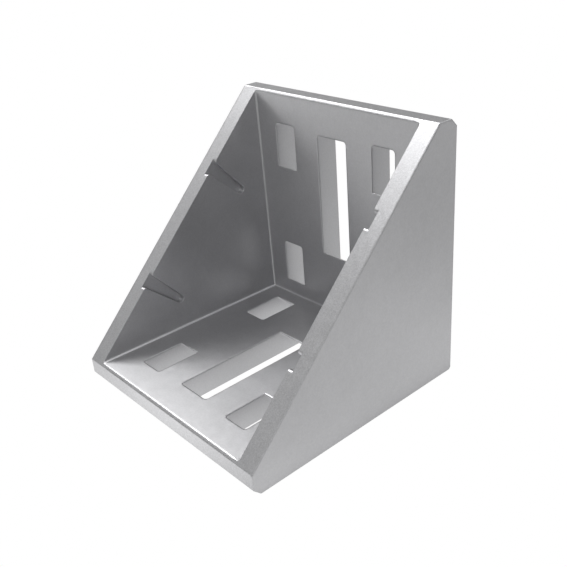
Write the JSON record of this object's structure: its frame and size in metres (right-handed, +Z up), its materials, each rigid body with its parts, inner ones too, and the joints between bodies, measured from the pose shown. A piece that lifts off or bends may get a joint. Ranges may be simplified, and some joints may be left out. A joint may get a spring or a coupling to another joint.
{
  "type": "t slot corner bracket",
  "caption": "Die-cast corner bracket with two slotted legs at a right angle, joined by a triangular gusset on each side with grooves for a cover cap.",
  "frame": {"origin": "the middle of the outer corner, where the plane of the base face meets the plane of the back face", "axes": "+X across the bracket, +Y to the back, out of the back face, +Z up, away from the base face"},
  "size_m": [0.0774, 0.0762, 0.0762],
  "materials": {
    "bracket": "die cast, fine blasted"
  },
  "bodies": {
    "root": {"bracket": "bracket"}
  },
  "joints": []
}
